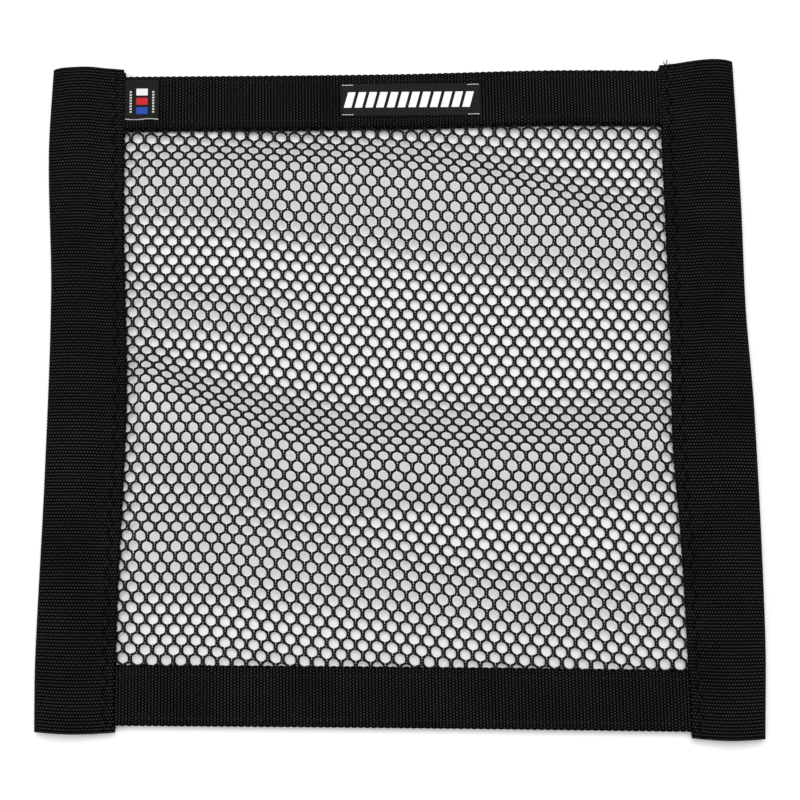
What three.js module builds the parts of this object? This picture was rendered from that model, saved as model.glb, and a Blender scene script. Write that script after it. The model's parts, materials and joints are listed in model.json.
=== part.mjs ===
// A mesh window screen for a race vehicle, lying flat: a knitted net held between two double
// bands of narrow webbing, with a rod sleeve of wide folded webbing down each side.
// Millimetres. +X is across the screen, +Y is towards the labelled band, +Z is up from the
// surface that the screen lies on.
import * as THREE from 'three';

const { smoothstep, lerp } = THREE.MathUtils;

// Driving dimensions.
const OPENING_HALF_HEIGHT = 184.9; // net showing above and below the centre
const WEBBING = 1.2; // thickness of all the webbing
const NET = 1.2; // thickness of the knitted net
const LAYER_GAP = 0.3; // between sewn layers
const BAND_WIDTH = 38.1; // 1 1/2 inch webbing
const BAND_TUCK = 11; // length of a band's end inside a sleeve's lips
const NET_SIDE_TUCK = 9; // and of the net's edge
const BACK_BAND_SHIFT = 1.2; // the back layer of a band sits this much nearer the net
const NET_TUCK = 32; // width of the net's edge between the two layers of a band
const SLEEVE_LENGTH = 455; // 18 inch strip, less the bow of its ends
const SLEEVE_WIDTH = 51.5; // nominal 4 inch webbing, folded in half round its channel
const END_BOW = 1.4; // how far the middle of a sleeve's cut end stands beyond its corners
const LEAN = 0.0257; // the screen lies slightly askew: x moves by this share of y
const STACK_MIDDLE = 4.4; // height of the net where it is sewn in
const NET_CLEAR_OF_FLOOR = 3.0; // middle of the slack net where it hangs just clear of the floor
const NET_DROP = 24; // distance over which the net comes down from its sewn edge
const HELD_MARGIN = 2; // the net stays flat this far out from the webbing

// A sleeve's section. Distances are outward from its inner edge and heights are over the floor.
const GRIP_CHANGE = 9; // length over which the lips open from the net alone to the bands
const LIP_WIDTH = 12; // the flat lips that hold the net
const CROWN = { at: 31, z: 9.5 }; // top of the channel
const FOLD = { at: 50.9, z: 4.4 }; // outermost line of the fold
const UNDERSIDE = { from: 19, to: 44, z: WEBBING / 2 }; // the flat that lies on the floor
const SECTION_STEPS = 5; // points to each piece of the section's line

// Stations along a sleeve, as shares of its half length. They are closer where the lips open.
const HALF_STATIONS = [0.25, 0.5, 0.78, 0.81, 0.845, 0.94, 1];
const ENDS_DIFFER_FROM = 0.5; // beyond this share the strip takes the shape of its cut ends

// Points across and along the sheets.
const NET_COLUMNS = 18;
const NET_ROWS = 26;
const BAND_STATIONS = 10;
const LABEL_STATIONS = 6;

// Thread.
const THREAD_HALF = 0.25;
const THREAD_CLEAR = 0.15; // between a thread and the webbing it lies on
const ZIGZAG_FROM_EDGE = 6.2;
const ZIGZAG_HALF_WIDTH = 1.6;
const ZIGZAG_PERIOD = 13;
const ZIGZAG_END = 0.992; // share of a sleeve's half length that its zigzag reaches
const ROW_FROM_EDGE = 5; // a band's straight rows, from each of its edges
const ROW_STOP = 1; // a row ends this far short of the sleeve's lips

// Labels. The patch lies on the upper band, and the tag is a ribbon folded once at its foot.
const LABEL = { x: 14, y: 204, width: 97, height: 23.5, thick: 0.5 };
const LABEL_CLEAR = 0.75; // the patch and the tag lie over the band's stitching
const LABEL_TACK = { length: 8, inset: 5, fromEdge: 1 };
const TAG = { x: -173.2, foot: 190.4, width: 23.4, height: 29.5, ply: 0.3, gap: 0.35 };
const TAG_ROW = { fromHead: 2.5, inset: 1.5 };

// Distance of each sleeve's inner and outer edge from the centre line, by y.
const SLEEVES = {
  left: {
    side: -1,
    inner: [[-228, 187.3], [-140, 186.5], [-5, 182.2], [120, 185.8], [228, 186]],
    outer: [[-228, 240.2], [-180, 240.6], [-60, 237], [67, 235.3], [165, 239], [228, 236.9]],
    headRise: [0.6, 0.8],
  },
  right: {
    side: 1,
    inner: [[-228, 187.2], [-100, 186], [-35, 183.6], [25, 185.4], [228, 186]],
    outer: [[-228, 233.9], [-160, 237.6], [-15, 238.8], [55, 236.9], [130, 237.7], [228, 237.2]],
    headRise: [2.6, 3.2],
  },
};
// Middle line of each band: y by x.
const TOP_BAND_MIDDLE = [[-200, 203.7], [0, 204], [110, 206], [200, 205]];
const BOTTOM_BAND_MIDDLE = [[-200, -204], [0, -203.8], [200, -204.4]];

// Waves of the slack net. Each station gives x, the crest's y, the crest's height, and how far
// the wave takes to fall on its far (+Y) and near (-Y) sides.
const WAVES = [
  [
    [-186, 154, 4.5, 30, 46],
    [-140, 156, 8, 28, 52],
    [-97, 156, 9.5, 28, 60],
    [6, 153, 10, 32, 78],
    [74, 139, 10, 38, 72],
    [130, 119, 9, 40, 58],
    [186, 108, 6, 38, 46],
  ],
  [
    [-186, 14, 12, 36, 90],
    [-130, -20, 15, 44, 60],
    [-80, -38, 17, 50, 46],
    [-30, -51, 18, 56, 36],
    [36, -47, 17, 52, 38],
    [120, -42, 15, 46, 44],
    [186, -24, 11, 44, 50],
  ],
  [
    [-186, -60, 0, 34, 40],
    [-110, -120, 0, 34, 40],
    [0, -130, 4, 34, 38],
    [100, -139, 5, 34, 34],
    [186, -144, 3, 34, 30],
  ],
  [
    [-186, -98, 7, 62, 50],
    [-97, -108, 6, 56, 50],
    [-20, -112, 2, 50, 40],
    [40, -112, 0, 40, 40],
    [186, -112, 0, 40, 40],
  ],
  [
    [-186, 62, 4.5, 26, 30],
    [-130, 58, 4, 26, 30],
    [-80, 56, 2, 26, 30],
    [-40, 56, 0, 26, 30],
    [186, 56, 0, 26, 30],
  ],
];
const WAVE_EDGE = 14; // the waves die out over this distance from the sewn edge
const FAR_SIDE_SKEW = 0.75; // below 1 the far side is steepest near the crest

// Value at t of the smooth line through the stations [t, value...], for the given column.
function through(stations, t, column = 1) {
  const last = stations.length - 1;
  const at = THREE.MathUtils.clamp(t, stations[0][0], stations[last][0]);
  let i = 0;
  while (i < last - 1 && at > stations[i + 1][0]) i += 1;
  const [a, b] = [stations[i], stations[i + 1]];
  const span = b[0] - a[0];
  const rise = (p, q) => {
    const [from, to] = [stations[p], stations[q]];
    return (to[column] - from[column]) / (to[0] - from[0]);
  };
  const slopeA = i > 0 ? rise(i - 1, i + 1) : rise(i, i + 1);
  const slopeB = i + 1 < last ? rise(i, i + 2) : rise(i, i + 1);
  const s = (at - a[0]) / span;
  return (
    a[column] * (1 + 2 * s) * (1 - s) ** 2 +
    slopeA * span * s * (1 - s) ** 2 +
    b[column] * s * s * (3 - 2 * s) +
    slopeB * span * s * s * (s - 1)
  );
}

function waveHeight(stations, x, y) {
  const crest = through(stations, x, 1);
  const height = Math.max(0, through(stations, x, 2));
  const far = y > crest;
  const t = far ? (y - crest) / through(stations, x, 3) : (crest - y) / through(stations, x, 4);
  return t >= 1 ? 0 : (height / 2) * (1 + Math.cos(Math.PI * (far ? t ** FAR_SIDE_SKEW : t)));
}

const innerEdge = (sleeve, y) => through(sleeve.inner, y);
const outerEdge = (sleeve, y) => through(sleeve.outer, y);

// Distance inside the part of the net that is free to move, from its nearest held edge.
function insideOpening(x, y) {
  const sleeve = x < 0 ? SLEEVES.left : SLEEVES.right;
  const inside = Math.min(innerEdge(sleeve, y) - Math.abs(x), OPENING_HALF_HEIGHT - Math.abs(y));
  return inside - HELD_MARGIN;
}

function netHeight(x, y) {
  const inside = insideOpening(x, y);
  const rest = lerp(STACK_MIDDLE, NET_CLEAR_OF_FLOOR, smoothstep(inside, 0, NET_DROP));
  const waves = WAVES.reduce((sum, wave) => sum + waveHeight(wave, x, y), 0);
  return rest + waves * smoothstep(inside, 0, WAVE_EDGE);
}

// Half the gap between a sleeve's two lips: they hold three layers at the bands and one between.
const HALF_NET_GRIP = NET / 2 + LAYER_GAP;
const HALF_BAND_GRIP = HALF_NET_GRIP + WEBBING + LAYER_GAP;

function halfGrip(y) {
  const toBand = smoothstep(Math.abs(y), OPENING_HALF_HEIGHT - GRIP_CHANGE, OPENING_HALF_HEIGHT - 1);
  return lerp(HALF_NET_GRIP, HALF_BAND_GRIP, toBand);
}

// Closed solid through rings of equal length, with its two ends capped. flatten gives a ring
// point's place in a plane whose normal points from the first ring to the last.
function loft(rings, flatten) {
  const clockwise = THREE.ShapeUtils.area(rings[0].map(flatten)) < 0;
  const turned = clockwise ? rings.map((ring) => [...ring].reverse()) : rings;
  const count = turned[0].length;
  const index = [];
  for (let i = 0; i < turned.length - 1; i += 1) {
    for (let j = 0; j < count; j += 1) {
      const a = i * count + j;
      const b = i * count + ((j + 1) % count);
      index.push(a, b, b + count, a, b + count, a + count);
    }
  }
  const end = (turned.length - 1) * count;
  for (const [p, q, r] of THREE.ShapeUtils.triangulateShape(turned[0].map(flatten), [])) {
    index.push(p, r, q);
    index.push(p + end, q + end, r + end);
  }
  const geometry = new THREE.BufferGeometry().setFromPoints(turned.flat());
  geometry.setIndex(index);
  return geometry;
}

const leaned = (x, y, z) => new THREE.Vector3(x - LEAN * y, y, z);
const onYZ = (p) => new THREE.Vector2(p.y, p.z);
const onZX = (p) => new THREE.Vector2(p.z, p.x);
const steps = (count) => Array.from({ length: count + 1 }, (_, i) => i / count);

// A sheet of a thickness, from x0 to x1, with its y range and middle height given by x and y.
function sheet({ x0, x1, yRange, middle, thick, across, along }) {
  const rings = steps(across).map((u) => {
    const x = lerp(x0, x1, u);
    const [low, high] = yRange(x);
    const ys = steps(along).map((v) => lerp(low, high, v));
    const under = ys.map((y) => leaned(x, y, middle(x, y) - thick / 2));
    const over = ys.map((y) => leaned(x, y, middle(x, y) + thick / 2));
    return [...under, ...over.reverse()];
  });
  return loft(rings, onYZ);
}

// A thread of diamond section through points that run along X or along Y.
function thread(points, alongX) {
  const rings = points.map(([x, y, z]) => {
    const [dx, dy] = alongX ? [0, THREAD_HALF] : [THREAD_HALF, 0];
    return [
      leaned(x - dx, y - dy, z),
      leaned(x, y, z - THREAD_HALF),
      leaned(x + dx, y + dy, z),
      leaned(x, y, z + THREAD_HALF),
    ];
  });
  return loft(rings, alongX ? onYZ : onZX);
}

// The middle line of a sleeve's strip, across its width. It goes out along the upper lip, over
// the crown of the channel, round the fold, back along the flat underside and up to the lower
// lip. The handles set how roundly each of its curves leaves one of these lines for the next.
const CROWN_HANDLES = { fromLip: 5, beforeCrown: 10, beyondCrown: 10, aboveFold: 3.8 };
const FOLD_HANDLES = { belowFold: 2.6, beforeUnderside: 4.4 };
const LIP_HANDLES = { beyondUnderside: 3, beforeLip: 3 };
const UNDERSIDE_INSET = 2; // a point this far in from each end keeps the underside flat

function stripMiddle(grip) {
  const high = STACK_MIDDLE + grip + WEBBING / 2;
  const low = STACK_MIDDLE - grip - WEBBING / 2;
  const { fromLip, beforeCrown, beyondCrown, aboveFold } = CROWN_HANDLES;
  const { belowFold, beforeUnderside } = FOLD_HANDLES;
  const { beyondUnderside, beforeLip } = LIP_HANDLES;
  const { from, to, z } = UNDERSIDE;
  const path = new THREE.Path();
  path.moveTo(0, high);
  path.lineTo(LIP_WIDTH, high);
  path.bezierCurveTo(LIP_WIDTH + fromLip, high, CROWN.at - beforeCrown, CROWN.z, CROWN.at, CROWN.z);
  path.bezierCurveTo(CROWN.at + beyondCrown, CROWN.z, FOLD.at, FOLD.z + aboveFold, FOLD.at, FOLD.z);
  path.bezierCurveTo(FOLD.at, FOLD.z - belowFold, to + beforeUnderside, z, to, z);
  path.lineTo(to - UNDERSIDE_INSET, z);
  path.lineTo(from + UNDERSIDE_INSET, z);
  path.lineTo(from, z);
  path.bezierCurveTo(from - beyondUnderside, z, LIP_WIDTH + beforeLip, low, LIP_WIDTH, low);
  path.lineTo(0, low);
  return path.getPoints(SECTION_STEPS);
}

// The strip's outline: its middle line moved out by half the thickness on each side.
function stripOutline(grip) {
  const line = stripMiddle(grip);
  const normals = line.map((p, i) => {
    const before = line[Math.max(i - 1, 0)];
    const after = line[Math.min(i + 1, line.length - 1)];
    const run = new THREE.Vector2().subVectors(after, before).normalize();
    return new THREE.Vector2(-run.y, run.x);
  });
  const offset = (sign) =>
    line.map((p, i) => p.clone().addScaledVector(normals[i], (sign * WEBBING) / 2));
  return [...offset(1), ...offset(-1).reverse()];
}

// How far a sleeve's end stands out along Y, by share of the way from its inner edge to its
// fold. Both ends bow out, and the head end also rises towards the fold.
function endShape(sleeve, share, end) {
  const bow = END_BOW * Math.sin(Math.PI * THREE.MathUtils.clamp(share, 0, 1)) * end;
  if (end < 0) return bow;
  const [midRise, foldRise] = sleeve.headRise;
  return bow + foldRise * smoothstep(share, 0, 1) - ((foldRise - midRise) / 2) * share;
}

function sleeveGeometry(sleeve) {
  const back = HALF_STATIONS.map((station) => -station).reverse();
  const rings = [...back, 0, ...HALF_STATIONS].map((station) => {
    const y = (station * SLEEVE_LENGTH) / 2;
    const inner = innerEdge(sleeve, y);
    const scale = (outerEdge(sleeve, y) - inner) / SLEEVE_WIDTH;
    const nearEnd = smoothstep(Math.abs(station), ENDS_DIFFER_FROM, 1);
    return stripOutline(halfGrip(y)).map((p) => {
      const out = nearEnd * endShape(sleeve, p.x / SLEEVE_WIDTH, Math.sign(station));
      return leaned(sleeve.side * (inner + p.x * scale), y + out, p.y);
    });
  });
  return loft(rings, onZX);
}

// The zigzag through a sleeve's lips, on the face that up (+1 or -1) names.
function zigzagGeometry(sleeve, up) {
  const count = Math.round((2 * SLEEVE_LENGTH) / ZIGZAG_PERIOD);
  const points = steps(count).map((share, i) => {
    const y = lerp(-ZIGZAG_END, ZIGZAG_END, share) * (SLEEVE_LENGTH / 2);
    const swing = i % 2 ? ZIGZAG_HALF_WIDTH : -ZIGZAG_HALF_WIDTH;
    const x = sleeve.side * (innerEdge(sleeve, y) + ZIGZAG_FROM_EDGE + swing);
    const lift = halfGrip(y) + WEBBING + THREAD_CLEAR + THREAD_HALF;
    return [x, y, STACK_MIDDLE + up * lift];
  });
  return thread(points, false);
}

const BANDS = {
  top: { middle: TOP_BAND_MIDDLE, towardsNet: -1 },
  bottom: { middle: BOTTOM_BAND_MIDDLE, towardsNet: 1 },
};
const BAND_LAYER = HALF_NET_GRIP + WEBBING / 2; // a layer's middle, from the net's middle

function bandShift(band, up) {
  return up < 0 ? band.towardsNet * BACK_BAND_SHIFT : 0;
}

function bandGeometry(band, up) {
  const end = (sleeve) => sleeve.side * (innerEdge(sleeve, band.middle[0][1]) + BAND_TUCK);
  return sheet({
    x0: end(SLEEVES.left),
    x1: end(SLEEVES.right),
    yRange: (x) => {
      const y = through(band.middle, x) + bandShift(band, up);
      return [y - BAND_WIDTH / 2, y + BAND_WIDTH / 2];
    },
    middle: () => STACK_MIDDLE + up * BAND_LAYER,
    thick: WEBBING,
    across: BAND_STATIONS,
    along: 1,
  });
}

// One straight row of stitching along a band, from lip to lip.
function rowGeometry(band, up, edge) {
  const y0 = band.middle[0][1];
  const stop = (sleeve) => sleeve.side * (innerEdge(sleeve, y0) - ROW_STOP);
  const z = STACK_MIDDLE + up * (BAND_LAYER + WEBBING / 2 + THREAD_CLEAR + THREAD_HALF);
  const fromMiddle = edge * (BAND_WIDTH / 2 - ROW_FROM_EDGE);
  const points = steps(BAND_STATIONS).map((u) => {
    const x = lerp(stop(SLEEVES.left), stop(SLEEVES.right), u);
    return [x, through(band.middle, x) + fromMiddle, z];
  });
  return thread(points, true);
}

const BAND_TOP = STACK_MIDDLE + BAND_LAYER + WEBBING / 2;

// The net's sheet has a column and a row of points just inside its sewn edges, so that it is
// flat where the webbing holds it.
const NET_EDGE_TUCK = NET_SIDE_TUCK + HELD_MARGIN;

function netGeometry() {
  const inner = steps(NET_COLUMNS).map((u) => [2 * u - 1, 0]);
  const columns = [[-1, -NET_EDGE_TUCK], ...inner, [1, NET_EDGE_TUCK]];
  const freeHalf = OPENING_HALF_HEIGHT - HELD_MARGIN;
  const free = steps(NET_ROWS).map((v) => (2 * v - 1) * freeHalf);
  const sewn = OPENING_HALF_HEIGHT + NET_TUCK;
  const rings = columns.map(([share, tuck]) => {
    const sleeve = share < 0 ? SLEEVES.left : SLEEVES.right;
    const line = [-sewn, ...free, sewn].map((y) => {
      const x = share * (innerEdge(sleeve, y) - HELD_MARGIN) + tuck;
      return [x, y, netHeight(x, y)];
    });
    const under = line.map(([x, y, z]) => leaned(x, y, z - NET / 2));
    const over = line.map(([x, y, z]) => leaned(x, y, z + NET / 2));
    return [...under, ...over.reverse()];
  });
  return loft(rings, onYZ);
}

function labelGeometry() {
  return sheet({
    x0: LABEL.x - LABEL.width / 2,
    x1: LABEL.x + LABEL.width / 2,
    yRange: () => [LABEL.y - LABEL.height / 2, LABEL.y + LABEL.height / 2],
    middle: () => BAND_TOP + LABEL_CLEAR + LABEL.thick / 2,
    thick: LABEL.thick,
    across: LABEL_STATIONS,
    along: 1,
  });
}

// A tack is a short thread at one corner of the patch, along its upper or lower edge.
function tackGeometry(right, upper) {
  const x = LABEL.x + right * (LABEL.width / 2 - LABEL_TACK.inset);
  const y = LABEL.y + upper * (LABEL.height / 2 - LABEL_TACK.fromEdge);
  const z = BAND_TOP + LABEL_CLEAR + LABEL.thick + THREAD_CLEAR + THREAD_HALF;
  return thread([[x - LABEL_TACK.length / 2, y, z], [x + LABEL_TACK.length / 2, y, z]], true);
}

// The tag's section in Y and Z is a U on its side: an under ply, the fold and an over ply.
const TAG_FOLD_STEPS = 4;
const SAME_POINT = 1e-6;

function tagGeometry() {
  const low = BAND_TOP + LABEL_CLEAR;
  const height = 2 * TAG.ply + TAG.gap;
  const head = TAG.foot + TAG.height;
  const outline = new THREE.Path();
  outline.moveTo(head, low);
  outline.lineTo(head, low + TAG.ply);
  outline.lineTo(TAG.foot + height / 2, low + TAG.ply);
  outline.absarc(TAG.foot + height / 2, low + height / 2, TAG.gap / 2, -Math.PI / 2, Math.PI / 2, true);
  outline.lineTo(head, low + height - TAG.ply);
  outline.lineTo(head, low + height);
  outline.lineTo(TAG.foot + height / 2, low + height);
  outline.absarc(TAG.foot + height / 2, low + height / 2, height / 2, Math.PI / 2, -Math.PI / 2, false);
  const repeats = (p, i, all) => i > 0 && p.distanceTo(all[i - 1]) < SAME_POINT;
  const points = outline.getPoints(TAG_FOLD_STEPS).filter((p, i, all) => !repeats(p, i, all));
  const rings = [-1, 1].map((side) => points.map((p) => leaned(TAG.x + (side * TAG.width) / 2, p.x, p.y)));
  return loft(rings, onYZ);
}

function tagRowGeometry() {
  const y = TAG.foot + TAG.height - TAG_ROW.fromHead;
  const z = BAND_TOP + LABEL_CLEAR + 2 * TAG.ply + TAG.gap + THREAD_CLEAR + THREAD_HALF;
  const half = TAG.width / 2 - TAG_ROW.inset;
  return thread([[TAG.x - half, y, z], [TAG.x + half, y, z]], true);
}

const material = (color, roughness) => new THREE.MeshStandardMaterial({ color, roughness, metalness: 0 });
const blackWebbing = () => material(0x101211, 0.85);
const blackThread = () => material(0x0c0d0d, 0.6);

const screen = new THREE.Group();

function add(name, geometry, look) {
  geometry.computeVertexNormals();
  const mesh = new THREE.Mesh(geometry, look);
  mesh.name = name;
  screen.add(mesh);
}

add('net_panel', netGeometry(), material(0x141515, 0.7));
for (const [name, sleeve] of Object.entries(SLEEVES)) {
  add(`${name}_sleeve`, sleeveGeometry(sleeve), blackWebbing());
  add(`${name}_sleeve_needle_thread`, zigzagGeometry(sleeve, 1), blackThread());
  add(`${name}_sleeve_bobbin_thread`, zigzagGeometry(sleeve, -1), blackThread());
}
for (const [name, band] of Object.entries(BANDS)) {
  add(`${name}_band_front`, bandGeometry(band, 1), blackWebbing());
  add(`${name}_band_back`, bandGeometry(band, -1), blackWebbing());
  for (const [row, edge] of [['upper', 1], ['lower', -1]]) {
    add(`${name}_band_${row}_needle_thread`, rowGeometry(band, 1, edge), blackThread());
    add(`${name}_band_${row}_bobbin_thread`, rowGeometry(band, -1, edge), blackThread());
  }
}
add('centre_label', labelGeometry(), material(0x17181a, 0.6));
for (const [side, right] of [['left', -1], ['right', 1]]) {
  for (const [level, upper] of [['lower', -1], ['upper', 1]]) {
    add(`label_tack_${level}_${side}`, tackGeometry(right, upper), material(0xd8d8d4, 0.6));
  }
}
add('corner_tag', tagGeometry(), material(0x17181a, 0.6));
add('corner_tag_stitches', tagRowGeometry(), blackThread());

// The origin is on the floor, under the middle of the whole screen.
const box = new THREE.Box3().setFromObject(screen);
const middle = box.getCenter(new THREE.Vector3());
screen.position.set(-middle.x, -middle.y, -box.min.z);

export default screen;
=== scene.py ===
"""Looks of a soft mesh window screen: knitted net, ribbed webbing bands and sleeves, seams and labels.

Lengths are in millimetres until put_in_frame() turns them into the model's metres.
"""
import json
import math

import bpy
import numpy as np
from mathutils import Matrix, Vector

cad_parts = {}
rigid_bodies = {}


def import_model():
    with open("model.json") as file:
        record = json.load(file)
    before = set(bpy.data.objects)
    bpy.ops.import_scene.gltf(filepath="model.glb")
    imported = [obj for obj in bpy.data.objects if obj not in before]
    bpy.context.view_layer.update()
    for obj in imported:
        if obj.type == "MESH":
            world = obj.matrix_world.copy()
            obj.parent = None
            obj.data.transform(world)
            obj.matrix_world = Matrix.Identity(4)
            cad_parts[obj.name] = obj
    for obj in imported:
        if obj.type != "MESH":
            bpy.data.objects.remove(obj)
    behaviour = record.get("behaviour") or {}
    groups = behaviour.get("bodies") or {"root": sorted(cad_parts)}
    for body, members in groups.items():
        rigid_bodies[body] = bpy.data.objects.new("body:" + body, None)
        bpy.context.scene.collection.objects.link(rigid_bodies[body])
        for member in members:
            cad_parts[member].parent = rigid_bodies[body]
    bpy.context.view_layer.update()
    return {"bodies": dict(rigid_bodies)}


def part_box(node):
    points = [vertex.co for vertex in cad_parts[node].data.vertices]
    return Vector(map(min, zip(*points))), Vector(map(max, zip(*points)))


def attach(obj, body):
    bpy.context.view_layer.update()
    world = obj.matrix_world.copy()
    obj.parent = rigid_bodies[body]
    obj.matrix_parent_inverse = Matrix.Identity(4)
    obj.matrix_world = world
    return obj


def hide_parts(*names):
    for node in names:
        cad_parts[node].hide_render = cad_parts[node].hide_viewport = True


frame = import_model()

BODY = next(iter(frame["bodies"]))
MM = 0.001
rng = np.random.default_rng(7)

# ---------------------------------------------------------------- dimensions, as the CAD model has them

OPENING_HALF_HEIGHT = 184.9
WEBBING = 1.2
LAYER_GAP = 0.3
NET = 1.2
BAND_WIDTH = 38.1
BAND_TUCK = 11.0
BACK_BAND_SHIFT = 1.2
SLEEVE_LENGTH = 455.0
SLEEVE_WIDTH = 51.5
# How far the screen as it lies is shifted left for each millimetre up it.
LEAN = 0.0257
# Height of the net where the webbing holds it.
STACK_MIDDLE = 4.4
# Away from the webbing the net comes down to its clear height, over the distance of its drop.
NET_CLEAR_OF_FLOOR = 3.0
NET_DROP = 24.0
HELD_MARGIN = 2.0
# Half the gap between a sleeve's two lips: over the net alone, and over the net and the bands.
HALF_NET_GRIP = NET / 2 + LAYER_GAP
HALF_BAND_GRIP = HALF_NET_GRIP + WEBBING + LAYER_GAP
GRIP_CHANGE = 9.0
END_BOW = 1.4
SLEEVE_STRIP_WIDTH = 105.0
ZIGZAG_FROM_EDGE = 6.2
ZIGZAG_HALF_WIDTH = 1.6
ZIGZAG_PERIOD = 13.0
ROW_FROM_EDGE = 5.0
LABEL_X, LABEL_Y, LABEL_WIDTH, LABEL_HEIGHT = 14.0, 204.0, 97.0, 23.5
TAG_X, TAG_FOOT, TAG_WIDTH, TAG_HEIGHT = -173.2, 190.4, 23.4, 29.5

# Each sleeve's edges as [y, distance from the centre line], and how far the middle and the fold of its
# upper end stand out.
SLEEVES = {
    "left": {
        "side": -1,
        "inner": [[-228, 187.3], [-140, 186.5], [-5, 182.2], [120, 185.8], [228, 186]],
        "outer": [[-228, 240.2], [-180, 240.6], [-60, 237], [67, 235.3], [165, 239], [228, 236.9]],
        "head_rise": [0.6, 0.8],
    },
    "right": {
        "side": 1,
        "inner": [[-228, 187.2], [-100, 186], [-35, 183.6], [25, 185.4], [228, 186]],
        "outer": [[-228, 233.9], [-160, 237.6], [-15, 238.8], [55, 236.9], [130, 237.7], [228, 237.2]],
        "head_rise": [2.6, 3.2],
    },
}
# Each band's middle line as [x, y], and which way the net lies from it.
BANDS = {
    "top": {"middle": [[-200, 203.7], [0, 204], [110, 206], [200, 205]], "towards_net": -1},
    "bottom": {"middle": [[-200, -204], [0, -203.8], [200, -204.4]], "towards_net": 1},
}
# Waves of the slack net: x, the crest's y and height, and its falls on the far and near sides.
WAVES = [
    [
        [-186, 154, 4.5, 30, 46],
        [-140, 156, 8, 28, 52],
        [-97, 156, 9.5, 28, 60],
        [6, 153, 10, 32, 78],
        [74, 139, 10, 38, 72],
        [130, 119, 9, 40, 58],
        [186, 108, 6, 38, 46],
    ],
    [
        [-186, 14, 12, 36, 90],
        [-130, -20, 15, 44, 60],
        [-80, -38, 17, 50, 46],
        [-30, -51, 18, 56, 36],
        [36, -47, 17, 52, 38],
        [120, -42, 15, 46, 44],
        [186, -24, 11, 44, 50],
    ],
    [
        [-186, -60, 0, 34, 40],
        [-110, -120, 0, 34, 40],
        [0, -130, 4, 34, 38],
        [100, -139, 5, 34, 34],
        [186, -144, 3, 34, 30],
    ],
    [
        [-186, -98, 7, 62, 50],
        [-97, -108, 6, 56, 50],
        [-20, -112, 2, 50, 40],
        [40, -112, 0, 40, 40],
        [186, -112, 0, 40, 40],
    ],
    [
        [-186, 62, 4.5, 26, 30],
        [-130, 58, 4, 26, 30],
        [-80, 56, 2, 26, 30],
        [-40, 56, 0, 26, 30],
        [186, 56, 0, 26, 30],
    ],
]
WAVE_EDGE = 14.0
FAR_SIDE_SKEW = 0.75


def smoothstep(value, low, high):
    t = np.clip((np.asarray(value, float) - low) / (high - low), 0, 1)
    return t * t * (3 - 2 * t)


def through(stations, t, column=1):
    """Value at t of the smooth line through the stations [t, value...]."""
    table = np.array(stations, float)
    at, value = table[:, 0], table[:, column]
    slope = np.empty_like(value)
    slope[1:-1] = (value[2:] - value[:-2]) / (at[2:] - at[:-2])
    slope[0] = (value[1] - value[0]) / (at[1] - at[0])
    slope[-1] = (value[-1] - value[-2]) / (at[-1] - at[-2])
    t = np.clip(np.asarray(t, float), at[0], at[-1])
    i = np.clip(np.searchsorted(at, t, side="left") - 1, 0, len(at) - 2)
    span = at[i + 1] - at[i]
    s = (t - at[i]) / span
    return (
        value[i] * (1 + 2 * s) * (1 - s) ** 2
        + slope[i] * span * s * (1 - s) ** 2
        + value[i + 1] * s * s * (3 - 2 * s)
        + slope[i + 1] * span * s * s * (s - 1)
    )


def inner_edge(sleeve, y):
    return through(sleeve["inner"], y)


def outer_edge(sleeve, y):
    return through(sleeve["outer"], y)


def inner_edge_at(x, y):
    """Distance of the sleeve's inner edge from the centre line, on the side that x is on."""
    return np.where(x < 0, inner_edge(SLEEVES["left"], y), inner_edge(SLEEVES["right"], y))


def wave_height(wave, x, y):
    crest, height = through(wave, x, 1), np.maximum(0, through(wave, x, 2))
    far = y > crest
    run = np.where(far, through(wave, x, 3), through(wave, x, 4))
    t = np.clip(np.abs(y - crest) / run, 0, 1)
    return height * 0.5 * (1 + np.cos(np.pi * np.where(far, t**FAR_SIDE_SKEW, t)))


def net_height(x, y):
    inside = np.minimum(inner_edge_at(x, y) - np.abs(x), OPENING_HALF_HEIGHT - np.abs(y)) - HELD_MARGIN
    drop = smoothstep(inside, 0, NET_DROP)
    waves = sum(wave_height(wave, x, y) for wave in WAVES)
    flat = STACK_MIDDLE + (NET_CLEAR_OF_FLOOR - STACK_MIDDLE) * drop
    return flat + waves * smoothstep(inside, 0, WAVE_EDGE)


def band_grip_share(y):
    """0 where a sleeve's lips hold only the net, 1 where they hold the bands as well."""
    return smoothstep(np.abs(y), OPENING_HALF_HEIGHT - GRIP_CHANGE, OPENING_HALF_HEIGHT - 1)


def half_grip(y):
    return HALF_NET_GRIP + (HALF_BAND_GRIP - HALF_NET_GRIP) * band_grip_share(y)


# ---------------------------------------------------------------- meshes

_label_low, _label_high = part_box("centre_label")
SHIFT_X = (_label_low.x + _label_high.x) / 2 / MM - (LABEL_X - LEAN * LABEL_Y)
SHIFT_Y = (_label_low.y + _label_high.y) / 2 / MM - LABEL_Y


def put_in_frame(points):
    """Millimetres in the straight screen to metres in the model's frame, where it lies askew."""
    p = np.asarray(points, float).reshape(-1, 3)
    return np.column_stack([p[:, 0] - LEAN * p[:, 1] + SHIFT_X, p[:, 1] + SHIFT_Y, p[:, 2]]) * MM


def signed_volume(points, faces):
    a, b, c, d = (points[faces[:, k]] for k in range(4))
    return np.sum(np.cross(b - a, c - a) * a) + np.sum(np.cross(c - a, d - a) * a)


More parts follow.
